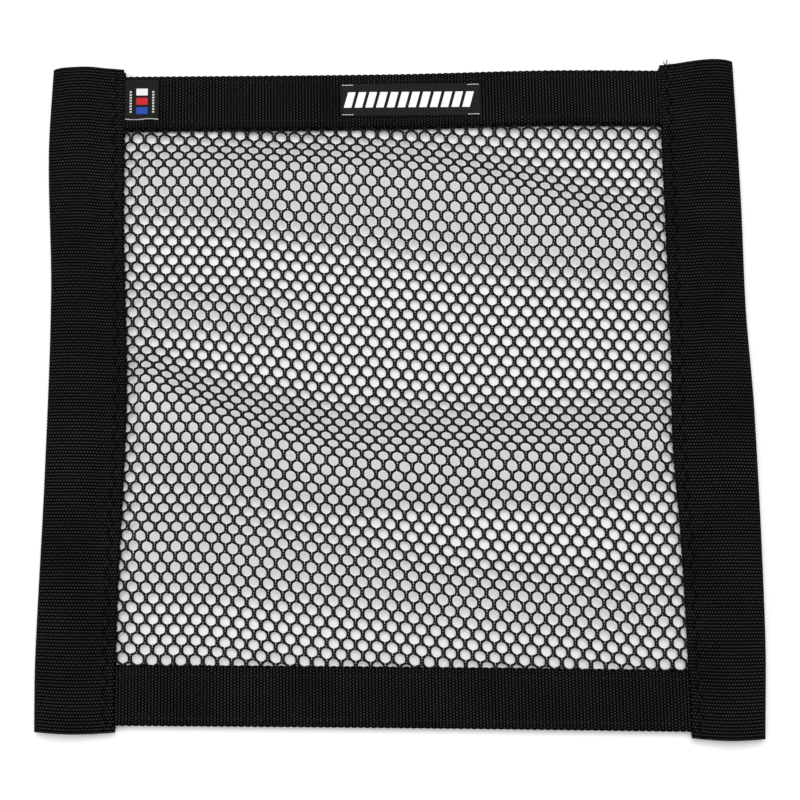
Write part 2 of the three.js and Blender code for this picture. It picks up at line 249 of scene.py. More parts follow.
def mesh_object(name, points, faces, uv, material):
    """A mesh object of quads, riding on the screen, its faces turned out, with a uv place for each point."""
    place = put_in_frame(points)
    faces = np.asarray(faces)
    if signed_volume(place, faces) < 0:
        faces = faces[:, ::-1]
    mesh = bpy.data.meshes.new(name)
    mesh.from_pydata(place.tolist(), [], faces.tolist())
    layer = mesh.uv_layers.new(name="weave")
    layer.data.foreach_set("uv", np.asarray(uv, float).reshape(-1, 2)[faces.ravel()].ravel())
    mesh.polygons.foreach_set("use_smooth", np.ones(len(faces), bool))
    mesh.materials.append(material)
    mesh.update()
    obj = bpy.data.objects.new(name, mesh)
    bpy.context.scene.collection.objects.link(obj)
    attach(obj, BODY)
    return obj


def grid_faces(rows, cols, first=0, wrap=False):
    """Quads of a grid of points; wrap joins the last column to the first."""
    i = np.arange(rows - 1)[:, None]
    j = np.arange(cols if wrap else cols - 1)[None, :]
    k = (j + 1) % cols
    quad = [i * cols + j, i * cols + k, (i + 1) * cols + k, (i + 1) * cols + j]
    return np.stack([np.broadcast_to(q, (rows - 1, j.shape[1])) for q in quad], -1).reshape(-1, 4) + first


def slab(name, over, under, uv, material):
    """A closed strip between two grids of points of one size."""
    rows, cols = over.shape[:2]
    n = rows * cols
    grid = np.arange(n).reshape(rows, cols)
    rim = np.concatenate([grid[0, :-1], grid[:-1, -1], grid[-1, :0:-1], grid[:0:-1, 0]])
    ahead = np.roll(rim, -1)
    top = grid_faces(rows, cols)
    walls = np.stack([ahead, rim, rim + n, ahead + n], -1)
    faces = np.concatenate([top, top[:, ::-1] + n, walls])
    points = np.concatenate([over.reshape(-1, 3), under.reshape(-1, 3)])
    flat_uv = np.asarray(uv).reshape(-1, 2)
    return mesh_object(name, points, faces, np.concatenate([flat_uv, flat_uv]), material)


def tube_points(line, up, wide, thick, sides):
    """Rings round a line of points: up is the direction that the section's short axis leans to."""
    run = np.gradient(line, axis=0)
    run /= np.linalg.norm(run, axis=1)[:, None]
    across = np.cross(run, up)
    across /= np.linalg.norm(across, axis=1)[:, None]
    upright = np.cross(across, run)
    angle = 2 * np.pi * np.arange(sides) / sides
    wide, thick = (np.broadcast_to(w, len(line))[:, None, None] for w in (wide, thick))
    return (
        line[:, None]
        + across[:, None] * np.cos(angle)[None, :, None] * wide
        + upright[:, None] * np.sin(angle)[None, :, None] * thick
    )


def tubes(name, lines, material, sides):
    """One object of closed tubes. Each line is (points, up, half width, half thickness)."""
    points, faces, uv, count = [], [], [], 0
    for line, up, wide, thick in lines:
        rings = tube_points(line, up, wide, thick, sides)
        n = len(line)
        faces.append(grid_faces(n, sides, count, wrap=True))
        length = np.concatenate([[0], np.cumsum(np.linalg.norm(np.diff(line, axis=0), axis=1))])
        turn = np.arange(sides) / sides
        uv.append(np.stack(np.broadcast_arrays(length[:, None], turn[None]), -1).reshape(-1, 2))
        points.append(rings.reshape(-1, 3))
        for ring, order in ((0, 1), (n - 1, -1)):
            centre = count + n * sides + (0 if ring == 0 else 1)
            first = count + ring * sides
            j = np.arange(0, sides, 2)
            fan = [np.full(len(j), centre), first + (j + 2) % sides, first + (j + 1) % sides, first + j]
            faces.append(np.stack(fan, -1)[:, ::order])
        points.append(np.stack([line[0], line[-1]]))
        uv.append(np.array([[0, 0], [length[-1], 0]]))
        count += n * sides + 2
    return mesh_object(name, np.concatenate(points), np.concatenate(faces), np.concatenate(uv), material)


# ---------------------------------------------------------------- materials


class Look:
    """A material built from nodes, with short calls for the node arithmetic."""

    def __init__(self, name, roughness=0.7, specular=0.3):
        self.material = bpy.data.materials.new(name)
        self.material.use_nodes = True
        self.tree = self.material.node_tree
        self.shader = self.tree.nodes["Principled BSDF"]
        self.shader.inputs["Roughness"].default_value = roughness
        self.shader.inputs["Specular IOR Level"].default_value = specular

    def put(self, socket, value):
        if isinstance(value, bpy.types.NodeSocket):
            self.tree.links.new(value, socket)
        else:
            socket.default_value = value

    def math(self, operation, *values):
        node = self.tree.nodes.new("ShaderNodeMath")
        node.operation = operation
        for socket, value in zip(node.inputs, values):
            self.put(socket, value)
        return node.outputs[0]

    def plus(self, a, b):
        return self.math("ADD", a, b)

    def minus(self, a, b):
        return self.math("SUBTRACT", a, b)

    def times(self, first, *others):
        for other in others:
            first = self.math("MULTIPLY", first, other)
        return first

    def divided(self, a, b):
        return self.math("DIVIDE", a, b)

    def magnitude(self, value):
        return self.math("ABSOLUTE", value)

    def sine(self, value, rate):
        return self.math("SINE", self.times(value, rate))

    def weave_uv(self):
        node = self.tree.nodes.new("ShaderNodeUVMap")
        node.uv_map = "weave"
        parts = self.tree.nodes.new("ShaderNodeSeparateXYZ")
        self.tree.links.new(node.outputs[0], parts.inputs[0])
        return node.outputs[0], parts.outputs[0], parts.outputs[1]

    def noise(self, scale, detail=2.0, vector=None, stretch=None):
        node = self.tree.nodes.new("ShaderNodeTexNoise")
        node.inputs["Scale"].default_value = scale
        node.inputs["Detail"].default_value = detail
        if vector is None:
            vector = self.tree.nodes.new("ShaderNodeTexCoord").outputs["Object"]
        if stretch is not None:
            mapping = self.tree.nodes.new("ShaderNodeMapping")
            mapping.inputs["Scale"].default_value = stretch
            self.tree.links.new(vector, mapping.inputs[0])
            vector = mapping.outputs[0]
        self.tree.links.new(vector, node.inputs["Vector"])
        return node.outputs[0]

    def blend(self, share, low, high):
        """Colour between low and high by a share from 0 to 1."""
        node = self.tree.nodes.new("ShaderNodeMix")
        node.data_type = "RGBA"
        self.put(node.inputs[0], share)
        self.put(node.inputs[6], low)
        self.put(node.inputs[7], high)
        return node.outputs[2]

    def spread(self, value, low, high):
        """A value of about 0 to 1 mapped to low to high, clamped."""
        node = self.tree.nodes.new("ShaderNodeMapRange")
        self.put(node.inputs[0], value)
        node.inputs[3].default_value = low
        node.inputs[4].default_value = high
        return node.outputs[0]

    def ramp(self, value, low, high):
        """0 below low, 1 above high and smooth between."""
        node = self.tree.nodes.new("ShaderNodeMapRange")
        node.interpolation_type = "SMOOTHSTEP"
        self.put(node.inputs[0], value)
        node.inputs[1].default_value = low
        node.inputs[2].default_value = high
        return node.outputs[0]

    def colour(self, value):
        self.put(self.shader.inputs["Base Color"], value)

    def roughness(self, value):
        self.put(self.shader.inputs["Roughness"], value)

    def bump(self, height, distance_mm, strength=1.0):
        node = self.tree.nodes.new("ShaderNodeBump")
        node.inputs["Strength"].default_value = strength
        node.inputs["Distance"].default_value = distance_mm * MM
        self.put(node.inputs["Height"], height)
        self.tree.links.new(node.outputs[0], self.shader.inputs["Normal"])


def grey(value, tint=(1.0, 1.0, 1.0)):
    return tuple(value * c for c in tint) + (1.0,)


# Rib pitch along the webbing, and float pitch across it, with how far the floats' rows wander.
RIB = 2.16
BEAD = 1.93
BEAD_WANDER = 0.8
BEAD_ROUNDNESS = 0.7
# Heights of a float between which its colour goes from painted shade in the grooves to a painted glint on
# the crest; both greys are the webbing's black, made darker and lighter for light and shade.
GLINT_FROM, GLINT_TO = 0.40, 0.95
WEB_SHADED_GROOVE, WEB_GLINTING_CREST = 0.0006, 0.031
WEB_TINT = (0.97, 1.0, 0.985)
WEB_BUMP = 0.35
# How fine each noise is, along and across the webbing, and between which shares it shades the floats.
WANDER_GRAIN = (0.12, 0.12, 1.0)
FIBRE_GRAIN, FIBRE_SHADES = (8.0, 2.0, 1.0), (0.55, 1.3)
UNEVEN_GRAIN, UNEVEN_SHADES = (0.9, 0.7, 1.0), (0.25, 1.5)
PATCH_SCALE, PATCH_SHADES = 22.0, (0.45, 1.45)
FIBRE_RELIEF = 0.3
# Distances from a seam's thread between which the cloth comes up again, and the share of its colour kept
# beside the thread, a painted shade of the groove that the thread pulls in.
SEAM_FROM, SEAM_TO = 0.2, 1.7
SEAM_PAINTED_SHADE = 0.3
SEAM_RELIEF = 0.8
# Added before a count is split into steps, so that it stays above 0.
STEPS_AHEAD = 1000


def webbing_look(name, seam=None):
    """Ribbed webbing: rows of rounded floats on the ribs, every other row half a step on, with painted shade
    in the grooves and painted glints on the floats' crests.

    Its uv is millimetres along the strip, across the ribs, and across the strip. A seam is the strip's
    width, the zigzag's distance from each edge, its half width and its period.
    """
    look = Look(name, roughness=0.75, specular=0.015)
    uv, along, across = look.weave_uv()
    rib = look.divided(along, RIB)
    odd = look.math("MODULO", look.math("FLOOR", look.plus(rib, STEPS_AHEAD + 0.5)), 2.0)
    wander = look.noise(1.0, 1.0, uv, stretch=WANDER_GRAIN)
    phase = look.plus(look.divided(across, BEAD), look.times(odd, 0.5))
    phase = look.plus(phase, look.times(wander, BEAD_WANDER))
    lengthwise = look.magnitude(look.sine(phase, math.pi))
    crosswise = look.magnitude(look.math("COSINE", look.times(rib, math.pi)))
    body = look.times(look.math("POWER", lengthwise, BEAD_ROUNDNESS), crosswise)
    fibre = look.noise(1.0, 2.0, uv, stretch=FIBRE_GRAIN)
    uneven = look.noise(1.0, 1.0, uv, stretch=UNEVEN_GRAIN)
    patch = look.noise(PATCH_SCALE, 3.0)
    # Painted light: this share lightens the floats towards their crests as a painted glint and leaves the
    # grooves dark as painted shade; the noises vary it at random.
    share = look.times(
        look.ramp(body, GLINT_FROM, GLINT_TO),
        look.spread(uneven, *UNEVEN_SHADES),
        look.spread(fibre, *FIBRE_SHADES),
        look.spread(patch, *PATCH_SHADES),
    )
    height = look.plus(body, look.times(fibre, FIBRE_RELIEF))
    if seam:
        width, middle, swing, period = seam
        edge = look.math("MINIMUM", across, look.minus(width, across))
        turn = look.math("PINGPONG", look.plus(along, STEPS_AHEAD * period), period / 2)
        line = look.times(look.minus(turn, period / 4), 4 * swing / period)
        off = look.magnitude(look.minus(look.minus(edge, middle), line))
        # Painted shade: the colour is darkened along the groove that the zigzag thread pulls into the cloth.
        open_cloth = look.ramp(off, SEAM_FROM, SEAM_TO)
        share = look.times(share, look.plus(look.times(open_cloth, 1 - SEAM_PAINTED_SHADE), SEAM_PAINTED_SHADE))
        height = look.plus(height, look.times(open_cloth, SEAM_RELIEF))
    look.colour(look.blend(share, grey(WEB_SHADED_GROOVE, WEB_TINT), grey(WEB_GLINTING_CREST, WEB_TINT)))
    look.roughness(look.spread(fibre, 0.65, 0.85))
    look.bump(height, WEB_BUMP, 1.0)
    return look.material


# Turns of the strands, in radians to a millimetre, and the greys between which each cloth's fibres lie.
PLAIT_RATE = 10.0
TWIST_RATE = 9.0
YARN_GREYS = (0.003, 0.016)
RIBBON_GREYS = (0.003, 0.013)


def yarn_look():
    """Knitted yarn: plaited loops along each strand, in a slightly uneven black."""
    look = Look("net_yarn", specular=0.06)
    _, along, turn = look.weave_uv()
    plait = look.math("SINE", look.plus(look.times(along, PLAIT_RATE), look.times(turn, 4 * math.pi)))
    fibre = look.noise(2500.0, 2.0)
    patch = look.noise(60.0, 2.0)
    share = look.times(look.plus(look.times(plait, 0.3), 0.55), look.spread(patch, 0.5, 1.3))
    look.colour(look.blend(share, *map(grey, YARN_GREYS)))
    look.roughness(look.spread(fibre, 0.4, 0.65))
    look.bump(look.plus(plait, fibre), 0.12, 0.6)
    return look.material


def thread_look(name, low, high, specular=0.35):
    """Twisted sewing thread."""
    look = Look(name, specular=specular)
    _, along, turn = look.weave_uv()
    twist = look.math("SINE", look.plus(look.times(along, TWIST_RATE), look.times(turn, 2 * math.pi)))
    fibre = look.noise(3000.0, 2.0)
    share = look.times(look.plus(look.times(twist, 0.4), 0.6), look.spread(fibre, 0.7, 1.2))
    look.colour(look.blend(share, grey(low), grey(high)))
    look.roughness(look.spread(fibre, 0.35, 0.6))
    look.bump(twist, 0.06, 0.7)
    return look.material


def inside_bar(look, x, y, left, right, low, high):
    """1 inside a bar between left and right and between low and high, 0 outside it."""
    return look.times(
        look.math("GREATER_THAN", x, left),
        look.math("LESS_THAN", x, right),
        look.math("GREATER_THAN", y, low),
        look.math("LESS_THAN", y, high),
    )


RIBBON_PICK = 0.42
RIBBON_END = 0.5


def ribbon_base(name):
    """Fine woven ribbon: the look, its uv, the shade of its fibres and the colour of its black ground."""
    look = Look(name, specular=0.06)
    uv, x, y = look.weave_uv()
    pick = look.sine(y, 2 * math.pi / RIBBON_PICK)
    end = look.sine(x, 2 * math.pi / RIBBON_END)
    fibre = look.noise(1.0, 2.0, uv, stretch=(3.0, 9.0, 1.0))
    weave = look.times(pick, look.plus(look.times(end, 0.3), 0.7))
    ground = look.blend(look.spread(fibre, 0.2, 1.0), *map(grey, RIBBON_GREYS))
    look.roughness(look.spread(fibre, 0.42, 0.6))
    look.bump(look.plus(weave, fibre), 0.07, 0.6)
    return look, x, y, fibre, ground


LABEL_BARS = 12
LABEL_BAR_PITCH = 7.45
LABEL_BAR_WIDTH = 5.2
LABEL_BAR_HALF_HEIGHT = 5.6
LABEL_BAR_SLANT = 0.28
LABEL_TINT = (1, 1, 0.98)
LABEL_WHITES = (0.62, 0.86)


def label_look():
    """A plain row of slanted off-white bars on black ribbon. Its uv is millimetres from the middle."""
    look, x, y, fibre, ground = ribbon_base("centre_label_ribbon")
    half_row = LABEL_BARS / 2
    leaned = look.minus(x, look.times(y, LABEL_BAR_SLANT))
    place = look.divided(look.plus(leaned, half_row * LABEL_BAR_PITCH), LABEL_BAR_PITCH)
    in_bar = look.math("LESS_THAN", look.math("FRACT", place), LABEL_BAR_WIDTH / LABEL_BAR_PITCH)
    in_row = look.math("LESS_THAN", look.magnitude(look.minus(place, half_row)), half_row)
    in_height = look.math("LESS_THAN", look.magnitude(y), LABEL_BAR_HALF_HEIGHT)
    dull, bright = (grey(value, LABEL_TINT) for value in LABEL_WHITES)
    white = look.blend(look.spread(fibre, 0.0, 1.0), dull, bright)
    look.colour(look.blend(look.times(in_bar, in_row, in_height), ground, white))
    return look.material


TAG_SQUARE_HALF_WIDTH = 4.0
TAG_SQUARE_HALF_HEIGHT = 2.5
TAG_SQUARES = [(5.6, (0.74, 0.74, 0.72)), (-1.2, (0.55, 0.02, 0.03)), (-8.0, (0.02, 0.07, 0.36))]
TAG_SHADE = 0.75
TAG_RULES = [-8.6, 7.2]
TAG_RULE_WIDTH = 1.4
TAG_RULE_FOOT, TAG_RULE_HEAD = -9.5, 6.6
TAG_DASH_PITCH = 2.1
TAG_DASH_SHARE = 0.62
TAG_DASHES_FROM = -100.0
TAG_LINE_FROM_FOOT = 0.5
TAG_LINE_HALF = 0.3
TAG_LINE_WAVE, TAG_LINE_RATE = 0.35, 0.3
TAG_RULE_GREY, TAG_LINE_GREY = 0.5, 0.35


def tag_look():
    """Three separate plain squares between two dashed rules on black ribbon, and a pale line at its foot."""
    look, x, y, fibre, ground = ribbon_base("corner_tag_ribbon")
    colour = ground
    width, height = TAG_SQUARE_HALF_WIDTH, TAG_SQUARE_HALF_HEIGHT
    for middle, rgb in TAG_SQUARES:
        share = inside_bar(look, x, y, -width, width, middle - height, middle + height)
        colour = look.blend(share, colour, look.blend(fibre, grey(TAG_SHADE, rgb), grey(1.0, rgb)))
    step = look.math("FRACT", look.divided(look.minus(y, TAG_DASHES_FROM), TAG_DASH_PITCH))
    dash = look.math("LESS_THAN", step, TAG_DASH_SHARE)
    for left in TAG_RULES:
        rule = inside_bar(look, x, y, left, left + TAG_RULE_WIDTH, TAG_RULE_FOOT, TAG_RULE_HEAD)
        colour = look.blend(look.times(dash, rule), colour, grey(TAG_RULE_GREY))
    wave = look.times(look.sine(x, TAG_LINE_RATE), TAG_LINE_WAVE)
    off = look.magnitude(look.minus(look.plus(y, TAG_HEIGHT / 2 - TAG_LINE_FROM_FOOT), wave))
    colour = look.blend(look.math("LESS_THAN", off, TAG_LINE_HALF), colour, grey(TAG_LINE_GREY))
    look.colour(colour)
    return look.material


SLEEVE_SEAM = (SLEEVE_STRIP_WIDTH, ZIGZAG_FROM_EDGE, ZIGZAG_HALF_WIDTH, ZIGZAG_PERIOD)
SLEEVE_LOOK = webbing_look("sleeve_webbing_weave", SLEEVE_SEAM)
BAND_LOOK = webbing_look("band_webbing_weave")
YARN_LOOK = yarn_look()
BLACK_THREAD = thread_look("black_sewing_thread", 0.002, 0.016, specular=0.03)
WHITE_THREAD = thread_look("white_sewing_thread", 0.45, 0.82)

# ---------------------------------------------------------------- net

NET_HALF_WIDTH = 195.5
NET_SEWN_IN = 14.0
NET_EVEN_HALF_WIDTH = 166.0
# More cloth lies on the waves' far sides, by their slope, and a little more towards the left sleeve.
GATHER = 0.4
LEFT_EASE = 0.02
LEFT_EASE_FROM, LEFT_EASE_TO = 20, 200
NET_PITCHES = 41
NET_PITCH = 2 * NET_HALF_WIDTH / NET_PITCHES
NET_ROW = 6.95
ROWS_ABOVE = 2
TABLE_STEP = 0.5
TABLE_COLUMNS = 197
# The opening's half width, left and right, at which the net lies as it was cut.
EVEN_EDGES = (186.0, 186.3)
# How far a row of the mesh comes down the cloth from its left end, as [x, distance].
ROW_DROP = [[-196, 0], [-60, 8.9], [70, 18.3], [110, 19.8], [196, 20.8]]
LOOP_LENGTH = 1.74
# The two chains of a leg of the mesh, by distance down from its middle: half the gap between them,
# below 0 where they overlap, how far the gap stands to the right, and their outer edges' distance.
LEG = np.array([
    [-2.75, -0.08, 0, 2.42],
    [-2.3, -0.12, 0, 1.95],
    [-1.8, 0.38, 0, 1.74],
    [-1.35, -0.1, 0, 1.57],
    [-0.75, -0.12, 0, 1.52],
    [-0.2, 0.16, 0, 1.5],
    [0.3, -0.12, 0, 1.51],
    [0.9, -0.1, 0, 1.55],
    [1.35, -0.02, 0, 1.58],
    [1.85, 0.24, -0.5, 1.76],
    [2.15, 0.2, -0.95, 1.92],
    [2.5, -0.15, 0, 2.3],
])
# Where a leg's chains leave it, below and above its middle, and how far out they are there.
LEG_FOOT, LEG_FOOT_OUT = 2.6, 1.2
LEG_HEAD, LEG_HEAD_OUT = 2.75, 1.17
# Shares of the way from one leg to the next at which a chain has points.
CROSS_SAMPLES = [0.3, 0.7]
OVER_UNDER = 0.22
YARN_HALF_WIDTH = 0.83
YARN_HALF_THICK = 0.6
# The net's shift to the right for each millimetre that it stands up, and each leg's random shift.
SIDE_DRIFT = 0.09
JITTER = 0.09
YARN_SIDES = 5
NET_PARTS = ["far_left", "mid_left", "mid_right", "far_right"]


def net_table():
    """Where each wale of the net comes to lie: y by x and by length of net from its upper cut edge."""
    columns = np.linspace(-NET_HALF_WIDTH, NET_HALF_WIDTH, TABLE_COLUMNS)
    top = OPENING_HALF_HEIGHT + NET_SEWN_IN
    down = np.arange(top, -top - TABLE_STEP / 2, -TABLE_STEP)
    held_back = np.clip(columns, -NET_EVEN_HALF_WIDTH, NET_EVEN_HALF_WIDTH)
    height = net_height(held_back[:, None], down[None, :])
    rise = np.diff(height, axis=1, prepend=height[:, :1])
    ease = LEFT_EASE * smoothstep(-columns, LEFT_EASE_FROM, LEFT_EASE_TO)[:, None]
    gather = 1 + GATHER * np.maximum(0, rise) / TABLE_STEP + ease
    length = np.cumsum(np.hypot(TABLE_STEP, rise) * gather, axis=1)
    even = np.arange(0, length.max(), TABLE_STEP)
    table = np.stack([np.interp(even, row, down) for row in length])
    return columns, even, table, length[:, -1]


COLUMNS, EVEN, Y_TABLE, WALE_LENGTH = net_table()


def look_up(table, x, s):
    """Bilinear look-up of a table by x and by length of net, kept just inside its last cells."""
    u = np.clip((x - COLUMNS[0]) / (COLUMNS[1] - COLUMNS[0]), 0, len(COLUMNS) - 1.001)
    v = np.clip(s / (EVEN[1] - EVEN[0]), 0, len(EVEN) - 1.001)
    i, j = u.astype(int), v.astype(int)
    a, b = u - i, v - j
    upper = table[i, j] * (1 - b) + table[i, j + 1] * b
    lower = table[i + 1, j] * (1 - b) + table[i + 1, j + 1] * b
    return upper * (1 - a) + lower * a


def lay_net(x, s):
    """A point of the net, by its place across the cloth and its length from the top, in space."""
    y = look_up(Y_TABLE, x, s)
    laid_x = x * inner_edge_at(x, y) / np.where(x < 0, *EVEN_EDGES)
    z = net_height(laid_x, y)
    lift = np.maximum(0, z - STACK_MIDDLE)
    return np.stack([laid_x + SIDE_DRIFT * lift, y, z], -1)


# Rows, and half columns, past the cloth's edges, so that every leg has a shift of its own.
SPARE = 8
FIRST_COLUMN = 3
ROWS_OF_NET = int(WALE_LENGTH.max() / NET_ROW) + SPARE
LEG_JITTER = rng.normal(0, JITTER, (ROWS_OF_NET, 2 * NET_PITCHES + SPARE, 2))


def chain(index, rightward):
    """One knitted chain: it runs down a leg of the mesh, crosses to the next leg and comes back.

    Gives its place across the net and down it, its height over the middle of the net and its width.
    """
    crossing = NET_ROW - LEG_HEAD - LEG_FOOT
    offsets = np.concatenate([LEG[:, 0], LEG_FOOT + crossing * np.array(CROSS_SAMPLES)])
    in_leg = offsets < LEG_FOOT
    rows = np.arange(ROWS_OF_NET - 1)
    side = 1 if rightward else -1
    home = index * NET_PITCH - NET_HALF_WIDTH
    even_row = rows % 2 == 0
    leg_x = home + np.where(even_row, 0, side * NET_PITCH / 2)
    next_x = home + np.where(even_row, side * NET_PITCH / 2, 0)
    facing = np.where(even_row, side, -side)[:, None]
    column = 2 * index + FIRST_COLUMN + np.where(even_row, 0, side)
    next_column = 2 * index + FIRST_COLUMN + np.where(even_row, side, 0)
    jitter, next_jitter = LEG_JITTER[rows, column], LEG_JITTER[rows + 1, next_column]
    cross = np.clip((offsets - LEG_FOOT) / crossing, 0, 1)
    gap, shift, outer = (np.interp(offsets, LEG[:, 0], LEG[:, k]) for k in (1, 2, 3))
    inner = gap + facing * shift
    from_leg = np.where(in_leg, (outer + inner) / 2, LEG_FOOT_OUT)
    start = (leg_x + jitter[:, 0])[:, None] + facing * from_leg
    end = (next_x + next_jitter[:, 0])[:, None] - facing * LEG_HEAD_OUT
    x = start * (1 - cross) + end * cross
    down = rows[:, None] * NET_ROW + offsets + jitter[:, 1:2] * (1 - cross) + next_jitter[:, 1:2] * cross
    lift = facing * OVER_UNDER * np.where(in_leg, np.sin(2 * np.pi * offsets / LOOP_LENGTH), 0)
    width = np.where(in_leg, (outer - inner) / 2, YARN_HALF_WIDTH)
    return x.ravel(), down.ravel(), lift.ravel(), width.ravel()


def net_normal(x, y):
    """The way that the net's upper face looks."""
    half = 0.5
    rise_x = net_height(x + half, y) - net_height(x - half, y)
    rise_y = net_height(x, y + half) - net_height(x, y - half)
    normal = np.stack([-rise_x, -rise_y, np.ones(len(x))], -1)
    return normal / np.linalg.norm(normal, axis=1)[:, None]


def net_lines():
    """The chains of the net, from left to right."""
    lines = []
    for index in range(NET_PITCHES + 1):
        for rightward in (False, True):
            if (index == 0 and not rightward) or (index == NET_PITCHES and rightward):
                continue
            x, down, lift, width = chain(index, rightward)
            s = down - ROWS_ABOVE * NET_ROW + through(ROW_DROP, x)
            length = np.interp(x, COLUMNS, WALE_LENGTH)
            keep = (s > 0) & (s < length)
            line = lay_net(x[keep], s[keep])
            up = net_normal(line[:, 0], line[:, 1])
            lines.append((line + up * lift[keep, None], up, width[keep], YARN_HALF_THICK))
    return lines


def make_net():
    lines = net_lines()
    share = math.ceil(len(lines) / len(NET_PARTS))
    for i, part in enumerate(NET_PARTS):
        piece = tubes(f"net_yarns_{part}", lines[i * share : (i + 1) * share], YARN_LOOK, YARN_SIDES)
        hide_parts("net_panel")


# ---------------------------------------------------------------- webbing

RIB_SAMPLES = 4
RIB_RELIEF = 0.28
RIB_ROUNDNESS = 0.7
SCALLOP = 0.22


def rib_profile(distance):
    """Height of the ribs, 0 in the grooves to 1 on the crowns, by distance along the strip."""
    return np.abs(np.cos(np.pi * distance / RIB)) ** RIB_ROUNDNESS


def scallop(distance):
    """How far the selvedge stands out at its loops, one for every two ribs."""
    return SCALLOP * np.cos(np.pi * distance / RIB)


def strip_samples(length):
    """Distances along a strip, RIB_SAMPLES to a rib, from its middle."""
    count = int(round(length / RIB)) * RIB_SAMPLES
    return np.linspace(-length / 2, length / 2, count + 1)


def bezier(p0, p1, p2, p3, count):
    t = np.linspace(0, 1, count)[:, None]
    p0, p1, p2, p3 = (np.array(p, float) for p in (p0, p1, p2, p3))
    return p0 * (1 - t) ** 3 + 3 * p1 * t * (1 - t) ** 2 + 3 * p2 * t * t * (1 - t) + p3 * t**3


# The sleeve's section: u is the distance outward from its inner edge.
LIP = 12.0
CROWN_U, CROWN_Z = 31.0, 9.5
FOLD_U, FOLD_Z = 50.9, 4.4
UNDERSIDE_FROM, UNDERSIDE_TO = 19.0, 44.0
UNDERSIDE_Z = WEBBING / 2
SECTION_COUNT = 58


def section_middle(grip, count):
    """Middle line of a sleeve's strip: u outward from its inner edge, and height, evenly spaced."""
    high, low = STACK_MIDDLE + grip + WEBBING / 2, STACK_MIDDLE - grip - WEBBING / 2
    line = np.concatenate([
        [[0, high]],
        bezier((LIP, high), (LIP + 5, high), (LIP + 9, CROWN_Z), (CROWN_U, CROWN_Z), 24),
        bezier((CROWN_U, CROWN_Z), (CROWN_U + 10, CROWN_Z), (FOLD_U, 8.2), (FOLD_U, FOLD_Z), 24)[1:],
        bezier((FOLD_U, FOLD_Z), (FOLD_U, 1.8), (48.4, UNDERSIDE_Z), (UNDERSIDE_TO, UNDERSIDE_Z), 16)[1:],
        bezier((UNDERSIDE_FROM, UNDERSIDE_Z), (16, UNDERSIDE_Z), (15, low), (LIP, low), 12),
        [[0, low]],
    ])
    length = np.concatenate([[0], np.cumsum(np.linalg.norm(np.diff(line, axis=0), axis=1))])
    even = np.linspace(0, length[-1], count)
    return np.stack([np.interp(even, length, line[:, k]) for k in (0, 1)], -1), even


# Waves of the crown's unevenness: turn by distance along, turn by distance across, and phase.
CREASES = [(0.021, 0.16, 0.4), (0.043, -0.09, 1.7), (0.083, 0.05, 3.1), (0.131, 0.21, 5.2)]
CREASE_HEIGHT = 0.7
CREASE_TURN = 2.3
# Where across a sleeve the creases start and stop, each over a short distance, and the height above
# which the strip is its upper side.
CREASED_FROM, CREASED_TO = (14, 24), (42, 50)
UPPER_SIDE_Z = 3
# Share of a sleeve's half length at which its end starts to leave the straight cut.
END_FROM = 0.5
HEAD_SAG = 0.5


def slack(y, u, seed):
    """Gentle unevenness of the sleeve's crown, from -1 to 1."""
    total = sum(np.sin(k * y + m * u + phase + CREASE_TURN * seed) for k, m, phase in CREASES)
    return total / len(CREASES)


def end_shift(sleeve, along, width_share):
    """How far each point of a sleeve stands along it from a straight cut, by its share of the width."""
    y_share = along / (SLEEVE_LENGTH / 2)
    mid_rise, fold_rise = sleeve["head_rise"]
    bow = END_BOW * np.sin(np.pi * width_share) * np.sign(y_share)[:, None]
    head = fold_rise * smoothstep(width_share, 0, 1) - (fold_rise - mid_rise) * width_share * HEAD_SAG
    near_end = smoothstep(np.abs(y_share), END_FROM, 1)[:, None]
    return (bow + head * (y_share > 0)[:, None]) * near_end


def make_sleeve(name, sleeve, seed):
    net_line, _ = section_middle(HALF_NET_GRIP, SECTION_COUNT)
    band_line, across = section_middle(HALF_BAND_GRIP, SECTION_COUNT)
    along = strip_samples(SLEEVE_LENGTH)
    share = band_grip_share(along)[:, None, None]
    section = net_line * (1 - share) + band_line * share
    u, z = section[..., 0], section[..., 1]
    on_crown = smoothstep(u, *CREASED_FROM) * (1 - smoothstep(u, *CREASED_TO)) * (z > UPPER_SIDE_Z)
    z = z + CREASE_HEIGHT * slack(along[:, None], u, seed) * on_crown
    run = np.gradient(np.stack([u, z], -1), axis=1)
    run /= np.linalg.norm(run, axis=-1)[..., None]
    normal = np.stack([-run[..., 1], run[..., 0]], -1)
    selvedge = np.zeros(SECTION_COUNT)
    selvedge[[0, -1]] = 1
    u = u - scallop(along)[:, None] * selvedge
    inner = inner_edge(sleeve, along)[:, None]
    scale = (outer_edge(sleeve, along)[:, None] - inner) / SLEEVE_WIDTH
    y = along[:, None] + end_shift(sleeve, along, np.clip(u / SLEEVE_WIDTH, 0, 1))
    half = WEBBING / 2 - RIB_RELIEF * (1 - rib_profile(along)[:, None])

    def face(offset):
        uu, zz = u + normal[..., 0] * offset, z + normal[..., 1] * offset
        return np.stack([sleeve["side"] * (inner + uu * scale), y, zz], -1)

    uv = np.stack(np.broadcast_arrays(along[:, None], across[None, :]), -1)
    piece = slab(f"{name}_sleeve_strip", face(half), face(-half), uv, SLEEVE_LOOK)
    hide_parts(f"{name}_sleeve")


def between_sleeves(band, past):
    """The x of a band's two ends, at a distance past the sleeves' inner edges."""
    y = band["middle"][0][1]
    return -inner_edge(SLEEVES["left"], y) - past, inner_edge(SLEEVES["right"], y) + past


BAND_LAYER = HALF_NET_GRIP + WEBBING / 2
BAND_ACROSS = 11
SELVEDGE_THINNING = 0.35


